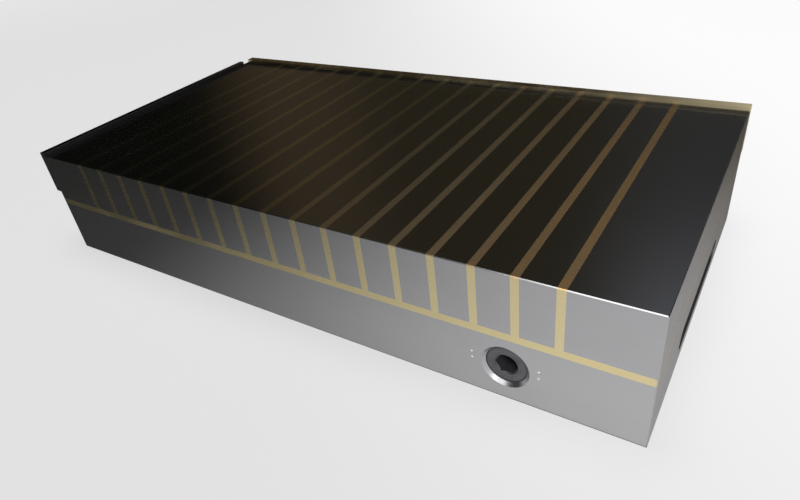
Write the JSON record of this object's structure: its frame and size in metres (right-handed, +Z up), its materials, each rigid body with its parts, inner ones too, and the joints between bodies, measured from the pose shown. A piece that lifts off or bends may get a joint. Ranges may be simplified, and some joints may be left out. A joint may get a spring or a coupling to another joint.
{
  "type": "magnetic chuck",
  "caption": "Rectangular magnetic chuck: brass-striped steel working face on a ground housing, hexagon key socket in front, stops on one end and the back.",
  "frame": {"origin": "middle of the underside of the housing", "axes": "+X along the chuck, away from the end stop; +Y from the key side to the back stop; +Z up, out of the working face"},
  "size_m": [0.4102, 0.2122, 0.075],
  "materials": {
    "pole_steel": "ground, with fine grinding grain",
    "inlay_brass": "ground flush with the steel, slightly tarnished",
    "frame_brass": "ground flush, satin",
    "housing_steel": "ground, satin",
    "base_steel": "ground, satin",
    "slide_brass": "machined",
    "screw_steel": "blackened",
    "bright_steel": "turned, bright",
    "bearing_bronze": "turned",
    "shaft_steel": "turned and hardened, dark grey",
    "seal_rubber": "moulded",
    "spring_steel": "phosphated",
    "pack_steel": "milled",
    "magnet_black": "sintered and ground, matt",
    "stop_steel": "ground, satin",
    "stop_brass": "ground, slightly tarnished"
  },
  "bodies": {
    "chuck_body": {"end_pole_left": "pole_steel", "end_pole_right": "pole_steel", "pole_bar_01": "pole_steel", "pole_bar_02": "pole_steel", "pole_bar_03": "pole_steel", "pole_bar_04": "pole_steel", "pole_bar_05": "pole_steel", "pole_bar_06": "pole_steel", "pole_bar_07": "pole_steel", "pole_bar_08": "pole_steel", "pole_bar_09": "pole_steel", "pole_bar_10": "pole_steel", "pole_bar_11": "pole_steel", "pole_bar_12": "pole_steel", "pole_bar_13": "pole_steel", "pole_bar_14": "pole_steel", "pole_bar_15": "pole_steel", "pole_bar_16": "pole_steel", "brass_strip_01": "inlay_brass", "brass_strip_02": "inlay_brass", "brass_strip_03": "inlay_brass", "brass_strip_04": "inlay_brass", "brass_strip_05": "inlay_brass", "brass_strip_06": "inlay_brass", "brass_strip_07": "inlay_brass", "brass_strip_08": "inlay_brass", "brass_strip_09": "inlay_brass", "brass_strip_10": "inlay_brass", "brass_strip_11": "inlay_brass", "brass_strip_12": "inlay_brass", "brass_strip_13": "inlay_brass", "brass_strip_14": "inlay_brass", "brass_strip_15": "inlay_brass", "brass_strip_16": "inlay_brass", "brass_strip_17": "inlay_brass", "brass_frame": "frame_brass", "housing": "housing_steel", "base_plate": "base_steel", "slide_strips": "slide_brass", "guide_strips": "slide_brass", "top_screws": "screw_steel", "base_screws": "screw_steel", "dowel_pins": "bright_steel", "stop_screws": "screw_steel", "stop_washers": "bright_steel", "shaft_bush": "bearing_bronze"},
    "magnet_pack": {"pack_pole_plates": "pack_steel", "pack_end_plates": "pack_steel", "pack_magnets": "magnet_black", "pack_front_rails": "slide_brass", "pack_rear_rail": "slide_brass", "pack_yoke": "bright_steel", "pack_screws": "screw_steel"},
    "drive_shaft": {"cam_shaft": "shaft_steel", "shaft_seal": "seal_rubber", "shaft_circlip": "spring_steel"},
    "pin_roller": {"cam_roller": "bright_steel"},
    "left_stop": {"end_stop": "stop_steel"},
    "rear_stop": {"back_stop": "stop_brass"}
  },
  "joints": [
    {"name": "pack_slide", "type": "slide", "parent": "chuck_body", "child": "magnet_pack", "axis": [1, 0, 0], "range_m": [0, 0.01]},
    {"name": "key_turn", "type": "hinge", "parent": "chuck_body", "child": "drive_shaft", "pos_m": [0.135, -0.0982, 0.0195], "axis": [0, 1, 0], "range_deg": [0, 180]},
    {"name": "roller_spin", "type": "hinge", "parent": "drive_shaft", "child": "pin_roller", "pos_m": [0.13, -0.068, 0.0195], "axis": [0, 1, 0], "continuous": true},
    {"name": "end_stop_lift", "type": "slide", "parent": "chuck_body", "child": "left_stop", "axis": [0, 0, 1], "range_m": [-0.0028, 0.0052]},
    {"name": "back_stop_lift", "type": "slide", "parent": "chuck_body", "child": "rear_stop", "axis": [0, 0, 1], "range_m": [-0.003, 0.005]}
  ],
  "couplings": [
    {"joint": "key_turn", "follows": "pack_slide", "rad_per_m": 314.16}
  ]
}
